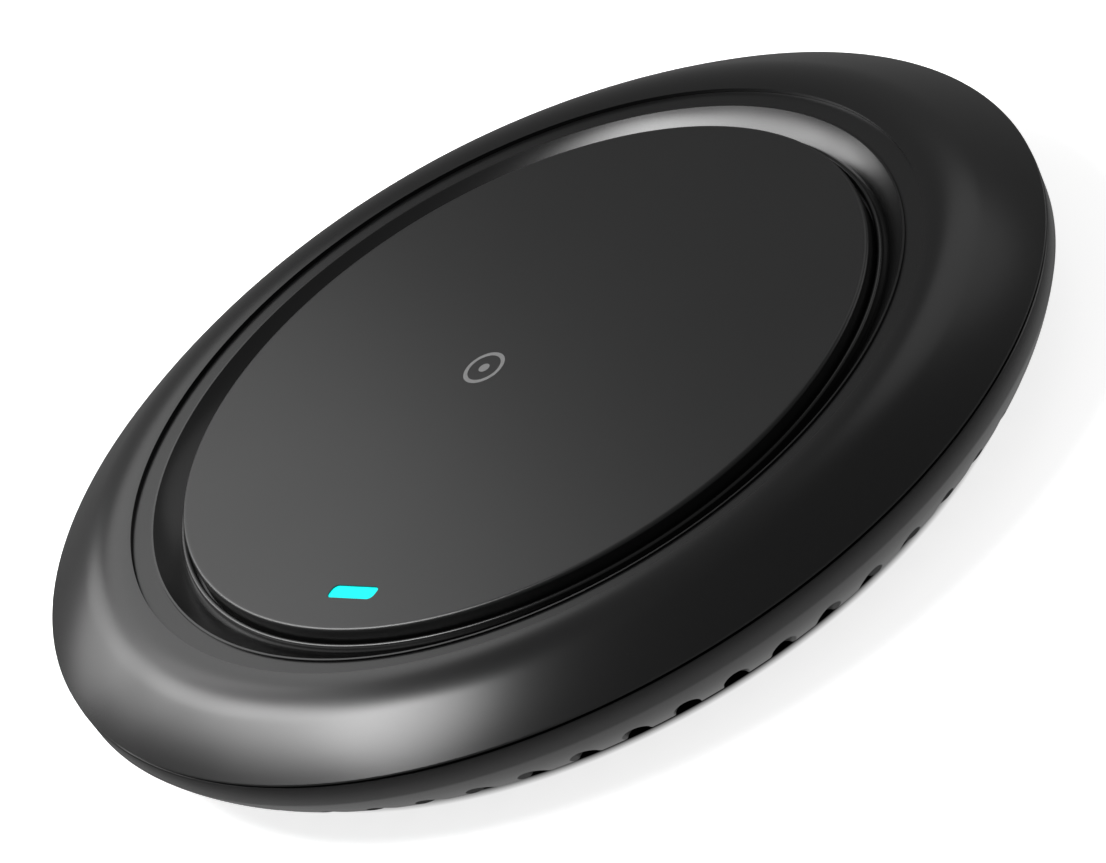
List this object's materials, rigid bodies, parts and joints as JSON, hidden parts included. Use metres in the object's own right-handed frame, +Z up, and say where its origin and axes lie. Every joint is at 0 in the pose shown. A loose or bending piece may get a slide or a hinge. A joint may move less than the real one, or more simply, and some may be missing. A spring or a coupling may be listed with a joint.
{
  "type": "wireless charging pad",
  "caption": "Round fan-cooled wireless charging pad: raised centre plate in a dished ring, status light, vented skirt and USB-C inlet.",
  "frame": {"origin": "centre of the footprint, on the surface that the pad stands on", "axes": "+Z up out of the charging plate, -Y towards the status light (front), +Y towards the USB-C inlet (rear)"},
  "size_m": [0.1, 0.1, 0.0138],
  "materials": {
    "soft_black": "soft-touch matt black with a very fine grain",
    "satin_black": "satin black lacquered plastic",
    "moulded_grey": "fine-grained dark grey moulded plastic",
    "light_window": "cyan translucent light guide, lit",
    "black_rubber": "matt black silicone rubber",
    "screw_steel": "zinc-plated steel",
    "natural_plastic": "white moulded plastic",
    "copper_litz": "enamelled copper litz wire",
    "ferrite": "sintered dark grey ferrite",
    "adhesive_white": "white double-sided adhesive pad",
    "wire_red": "insulated wire",
    "board_green": "green solder mask over glass-epoxy board",
    "chip_black": "black epoxy package",
    "ceramic_tan": "ceramic chip capacitor with tinned ends",
    "led_yellow": "light-emitting diode",
    "can_metal": "nickel-plated can",
    "connector_black": "black connector body",
    "contact_gold": "gold-plated contacts",
    "fan_plastic": "black glass-filled plastic",
    "bearing_bronze": "sintered bronze",
    "lamination_steel": "stacked steel laminations",
    "shaft_steel": "ground steel",
    "magnet": "bonded magnet"
  },
  "bodies": {
    "base": {"charging_plate": "soft_black", "trim_ring": "soft_black", "dish_bezel": "satin_black", "ring_cover": "satin_black", "bottom_case": "moulded_grey", "status_light_guide": "light_window", "rubber_feet": "black_rubber", "case_screws": "screw_steel", "tray_screws": "screw_steel", "board_screws": "screw_steel", "fan_screws": "screw_steel", "coil_tray": "natural_plastic", "ferrite_shield": "ferrite", "transmit_coil": "copper_litz", "coil_leads": "copper_litz", "coil_pad": "adhesive_white", "thermistor": "chip_black", "thermistor_leads": "wire_red", "circuit_board": "board_green", "status_leds": "led_yellow", "controller_chip": "chip_black", "bridge_transistors": "chip_black", "resonant_capacitors": "ceramic_tan", "input_capacitors": "ceramic_tan", "timing_crystal": "can_metal", "small_passives": "ceramic_tan", "power_inductor": "ferrite", "usb_shell": "can_metal", "usb_tongue": "connector_black", "usb_contacts": "contact_gold", "fan_socket": "natural_plastic", "fan_lead": "wire_red", "fan_frame": "fan_plastic", "fan_bearing": "bearing_bronze", "fan_stator": "lamination_steel", "fan_windings": "copper_litz"},
    "fan_rotor": {"fan_rotor": "fan_plastic", "fan_shaft": "shaft_steel", "fan_magnet": "magnet"}
  },
  "joints": [
    {"name": "fan_spin", "type": "hinge", "parent": "base", "child": "fan_rotor", "pos_m": [0, 0, 0.005], "axis": [0, 0, 1], "continuous": true}
  ]
}
